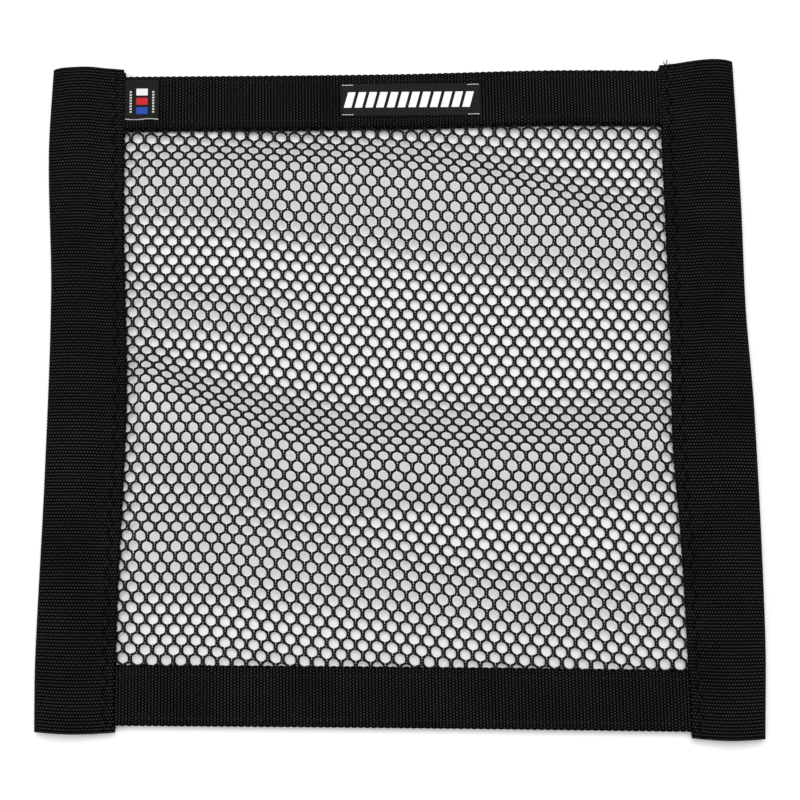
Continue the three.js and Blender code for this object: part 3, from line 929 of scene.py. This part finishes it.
def make_band(name, band, up):
    shift = band["towards_net"] * BACK_BAND_SHIFT if up < 0 else 0
    left, right = between_sleeves(band, BAND_TUCK)
    along = strip_samples(float(right - left))
    x = along + (left + right) / 2
    middle = through(band["middle"], x) + shift
    across = np.linspace(-BAND_WIDTH / 2, BAND_WIDTH / 2, BAND_ACROSS)
    selvedge = np.zeros(BAND_ACROSS)
    selvedge[0], selvedge[-1] = -1, 1
    y = middle[:, None] + across[None, :] + scallop(along)[:, None] * selvedge[None, :]
    half = WEBBING / 2 - RIB_RELIEF * (1 - rib_profile(along))[:, None]
    half = half * (1 - SELVEDGE_THINNING * np.abs(selvedge))[None, :]
    z = STACK_MIDDLE + up * BAND_LAYER

    def face(sign):
        return np.stack(np.broadcast_arrays(x[:, None], y, z + sign * half), -1)

    side = "front" if up > 0 else "back"
    uv = np.stack(np.broadcast_arrays(along[:, None], across[None, :]), -1)
    piece = slab(f"{name}_band_{side}_strip", face(1), face(-1), uv, BAND_LOOK)
    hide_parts(f"{name}_band_{side}")


# ---------------------------------------------------------------- seams

THREAD_HALF = 0.3
STITCH_SAMPLES = 7
THREAD_SIDES = 6
ROW_STITCH = 3.2
STITCH_SINK = 0.3
STITCH_RISE = 0.14
STITCH_ROUNDNESS = 0.6
ROW_WANDER = 0.05
# How far a row stops short of each sleeve.
ROW_STOP = 1
ZIGZAG_END = 0.992
ZIGZAG_WANDER = 0.1


def stitched_line(corners, lift_axis):
    """A thread from corner to corner that dips into the cloth at each and rises between."""
    t = np.linspace(0, 1, STITCH_SAMPLES)[:-1]
    height = -STITCH_SINK + (STITCH_SINK + STITCH_RISE) * np.sin(np.pi * t) ** STITCH_ROUNDNESS
    legs = corners[:-1, None] * (1 - t)[None, :, None] + corners[1:, None] * t[None, :, None]
    legs = legs + height[None, :, None] * lift_axis
    return np.concatenate([legs.reshape(-1, 3), corners[-1:] - STITCH_SINK * lift_axis])


def make_thread(node, corners, up, material, half=THREAD_HALF, tails=()):
    axis = np.array([0, 0, float(up)])
    line = stitched_line(corners, axis)
    piece = tubes(f"{node}_strand", [(line, axis, half, half), *tails], material, THREAD_SIDES)
    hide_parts(node)


TAIL_HALF = 0.22
TAIL_START, TAIL_LIFT, TAIL_ARCH = 0.2, 0.4, 0.5
# Each loose fibre bundle: how far its end stands to the right, how far it reaches, and its sideways bend.
TAILS = [(-2.2, 3.4, 0.9), (-1.0, 5.2, -0.7), (0.4, 6.0, 0.5), (1.5, 4.6, -0.8), (2.8, 3.2, 0.6)]


def loose_tails(root):
    """Frayed ends of the thread, standing off from its last stitch."""
    tails = []
    t = np.linspace(0, 1, 9)[:, None]
    for lean, length, curl in TAILS:
        reach = np.array([[lean, length, TAIL_LIFT]]) * t
        bend = np.array([[curl, 0, TAIL_ARCH]]) * np.sin(np.pi * t)
        tails.append((root + reach + bend, np.array([0, 0, 1.0]), TAIL_HALF, TAIL_HALF))
    return tails


def make_zigzag(name, sleeve, up):
    count = int(round(2 * SLEEVE_LENGTH / ZIGZAG_PERIOD))
    y = np.linspace(-ZIGZAG_END, ZIGZAG_END, count + 1) * SLEEVE_LENGTH / 2
    swing = ZIGZAG_HALF_WIDTH * np.where(np.arange(count + 1) % 2, 1, -1)
    swing = swing + rng.normal(0, ZIGZAG_WANDER, count + 1)
    x = sleeve["side"] * (inner_edge(sleeve, y) + ZIGZAG_FROM_EDGE + swing)
    z = STACK_MIDDLE + up * (half_grip(y) + WEBBING)
    node = f"{name}_sleeve_{'needle' if up > 0 else 'bobbin'}_thread"
    corners = np.stack([x, y, z], -1)
    tails = loose_tails(corners[-1] + [0, 0, TAIL_START]) if node == "right_sleeve_needle_thread" else ()
    make_thread(node, corners, up, BLACK_THREAD, tails=tails)


def make_row(name, band, up, row, edge):
    left, right = between_sleeves(band, -ROW_STOP)
    x = np.linspace(left, right, int((right - left) / ROW_STITCH) + 1)
    y = through(band["middle"], x) + edge * (BAND_WIDTH / 2 - ROW_FROM_EDGE)
    y = y + rng.normal(0, ROW_WANDER, len(x))
    z = np.full(len(x), STACK_MIDDLE + up * (BAND_LAYER + WEBBING / 2))
    node = f"{name}_band_{row}_{'needle' if up > 0 else 'bobbin'}_thread"
    make_thread(node, np.stack([x, y, z], -1), up, BLACK_THREAD)


# ---------------------------------------------------------------- labels

BAND_TOP = STACK_MIDDLE + BAND_LAYER + WEBBING / 2
LABEL_CLEAR = 0.75
LABEL_THICK = 0.5
LABEL_SAMPLES = (98, 25)
LABEL_RIM, LABEL_RIM_DROP = 1.2, 0.3
LABEL_RIM_THICK, LABEL_FILLING = 0.2, 0.15
LABEL_PUFF, LABEL_RIPPLE = 0.12, 0.06
# How far a stitch's corners stand above or below the ribbon that it holds.
STITCH_SET = 0.05


def make_label():
    half_width, half_height = LABEL_WIDTH / 2, LABEL_HEIGHT / 2
    u = np.linspace(-half_width, half_width, LABEL_SAMPLES[0])
    v = np.linspace(-half_height, half_height, LABEL_SAMPLES[1])
    uu, vv = np.meshgrid(u, v, indexing="ij")
    puff = LABEL_PUFF * np.sin(0.21 * uu + 0.6) * np.cos(0.16 * vv) + LABEL_RIPPLE * np.sin(0.9 * uu)
    rim = smoothstep(half_width - np.abs(uu), 0, LABEL_RIM)
    rim = rim * smoothstep(half_height - np.abs(vv), 0, LABEL_RIM)
    top = BAND_TOP + LABEL_CLEAR + LABEL_THICK - LABEL_RIM_DROP * (1 - rim) + puff * rim
    bottom = top - LABEL_RIM_THICK - LABEL_FILLING * rim
    base = np.stack([LABEL_X + uu, LABEL_Y + vv], -1)
    over = np.concatenate([base, top[..., None]], -1)
    under = np.concatenate([base, bottom[..., None]], -1)
    piece = slab("centre_label_patch", over, under, np.stack([uu, vv], -1), label_look())
    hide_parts("centre_label")


TACK = {"length": 8.0, "inset": 5.0, "from_edge": 1.0, "stitches": 4, "wander": 0.1, "half": 0.24}


def make_tack(side_name, right, level, upper):
    x = LABEL_X + right * (LABEL_WIDTH / 2 - TACK["inset"])
    y = LABEL_Y + upper * (LABEL_HEIGHT / 2 - TACK["from_edge"])
    xs = np.linspace(x - TACK["length"] / 2, x + TACK["length"] / 2, TACK["stitches"] + 1)
    z = np.full(len(xs), BAND_TOP + LABEL_CLEAR + LABEL_THICK - STITCH_SET)
    corners = np.stack([xs, y + rng.normal(0, TACK["wander"], len(xs)), z], -1)
    node = f"label_tack_{level}_{side_name}"
    make_thread(node, corners, 1, WHITE_THREAD, half=TACK["half"])


TAG_PLY = 0.3
TAG_GAP = 0.35
TAG_SAMPLES = (25, 30)
TAG_STITCH_INSET = 1.5
TAG_STITCHES_FROM_HEAD = 2.5
TAG_STITCH_CORNERS = 8


def make_tag():
    """The tag's ribbon: up its front from the head to the fold, round it, and back underneath."""
    height = 2 * TAG_PLY + TAG_GAP
    low = BAND_TOP + LABEL_CLEAR
    radius = (TAG_PLY + TAG_GAP) / 2
    fold_y, fold_z = TAG_FOOT + height / 2, low + height / 2
    front = np.linspace(TAG_FOOT + TAG_HEIGHT, fold_y, TAG_SAMPLES[1])
    turn = np.linspace(0, np.pi, 9)[1:-1]
    y = np.concatenate([front, fold_y - radius * np.sin(turn), front[::-1]])
    level = np.ones(len(front))
    z = fold_z + radius * np.concatenate([level, np.cos(turn), -level])
    x = np.linspace(-TAG_WIDTH / 2, TAG_WIDTH / 2, TAG_SAMPLES[0])
    run = np.stack([np.gradient(y), np.gradient(z)], -1)
    run /= np.linalg.norm(run, axis=1)[:, None]
    normal = np.stack([run[:, 1], -run[:, 0]], -1)
    length = np.concatenate([[0], np.cumsum(np.hypot(np.diff(y), np.diff(z)))])

    def face(sign):
        yy = y + sign * normal[:, 0] * TAG_PLY / 2
        zz = z + sign * normal[:, 1] * TAG_PLY / 2
        return np.stack(np.broadcast_arrays(TAG_X + x[:, None], yy[None, :], zz[None, :]), -1)

    uv = np.stack(np.broadcast_arrays(x[:, None], (TAG_HEIGHT / 2 - length)[None, :]), -1)
    piece = slab("corner_tag_ribbon_loop", face(1), face(-1), uv, tag_look())
    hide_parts("corner_tag")
    reach = TAG_WIDTH / 2 - TAG_STITCH_INSET
    xs = np.linspace(TAG_X - reach, TAG_X + reach, TAG_STITCH_CORNERS)
    level = np.full(len(xs), low + height + STITCH_SET)
    corners = np.stack([xs, np.full(len(xs), TAG_FOOT + TAG_HEIGHT - TAG_STITCHES_FROM_HEAD), level], -1)
    make_thread("corner_tag_stitches", corners, 1, BLACK_THREAD)


# ---------------------------------------------------------------- stage

CAMERA_DISTANCE = 1.1
CAMERA_BACK = 10.3
CAMERA_RIGHT = 2.5
CAMERA_ROLL = 0.5
AIM = (3.2, -6.75, 4.0)
LENS = 73.7
SENSOR = 36.0
FLOOR_HALF = 3.0
FLOOR_Z = -0.0002
FLOOR_COLOUR = (0.85, 0.85, 0.845, 1.0)
WORLD_STRENGTH = 0.74
# Each light's place and size in metres, and its power in watts.
LIGHTS = {"overhead": ((0.1, 0.5, 2.2), 1.6, 36), "left_fill": ((-1.6, -0.4, 1.5), 1.2, 7)}


def make_camera():
    towards = Vector((math.sin(math.radians(CAMERA_RIGHT)), -math.sin(math.radians(CAMERA_BACK)), 0))
    towards.z = math.sqrt(1 - towards.length_squared)
    right = Vector((0, 1, 0)).cross(towards).normalized()
    up = towards.cross(right)
    roll = math.radians(CAMERA_ROLL)
    turned_right = math.cos(roll) * right + math.sin(roll) * up
    turned_up = math.cos(roll) * up - math.sin(roll) * right
    data = bpy.data.cameras.new("camera")
    data.lens = LENS
    data.sensor_width = SENSOR
    data.clip_start = 0.01
    camera = bpy.data.objects.new("camera", data)
    bpy.context.scene.collection.objects.link(camera)
    aim = Vector(((AIM[0] + SHIFT_X) * MM, (AIM[1] + SHIFT_Y) * MM, AIM[2] * MM))
    axes = Matrix((turned_right, turned_up, towards)).transposed().to_4x4()
    camera.matrix_world = Matrix.Translation(aim + towards * CAMERA_DISTANCE) @ axes
    bpy.context.scene.camera = camera


def make_floor():
    mesh = bpy.data.meshes.new("floor")
    corners = [(x * FLOOR_HALF, y * FLOOR_HALF, FLOOR_Z) for x, y in ((-1, -1), (1, -1), (1, 1), (-1, 1))]
    mesh.from_pydata(corners, [], [(0, 1, 2, 3)])
    look = Look("floor_white", roughness=0.9, specular=0.1)
    look.colour(FLOOR_COLOUR)
    mesh.materials.append(look.material)
    floor = bpy.data.objects.new("floor", mesh)
    bpy.context.scene.collection.objects.link(floor)


def make_light(name, place, size, power):
    data = bpy.data.lights.new(name, "AREA")
    data.shape = "SQUARE"
    data.size = size
    data.energy = power
    light = bpy.data.objects.new(name, data)
    light.location = place
    light.rotation_euler = (-Vector(place)).to_track_quat("-Z", "Y").to_euler()
    bpy.context.scene.collection.objects.link(light)


def make_world():
    world = bpy.data.worlds.new("studio")
    bpy.context.scene.world = world
    world.use_nodes = True
    background = world.node_tree.nodes["Background"]
    background.inputs[0].default_value = (1.0, 1.0, 1.0, 1.0)
    background.inputs[1].default_value = WORLD_STRENGTH
    bpy.context.scene.view_settings.view_transform = "Standard"


make_camera()
make_world()
make_floor()
for light_name, (light_place, light_size, light_power) in LIGHTS.items():
    make_light(light_name, light_place, light_size, light_power)

for order, (sleeve_name, sleeve_sizes) in enumerate(SLEEVES.items()):
    make_sleeve(sleeve_name, sleeve_sizes, order)
    for facing in (1, -1):
        make_zigzag(sleeve_name, sleeve_sizes, facing)
for band_name, band_sizes in BANDS.items():
    for facing in (1, -1):
        make_band(band_name, band_sizes, facing)
        for row_name, row_edge in (("upper", 1), ("lower", -1)):
            make_row(band_name, band_sizes, facing, row_name, row_edge)
make_net()
make_label()
for side_name, side_sign in (("left", -1), ("right", 1)):
    for level_name, level_sign in (("lower", -1), ("upper", 1)):
        make_tack(side_name, side_sign, level_name, level_sign)
make_tag()

bpy.context.view_layer.update()
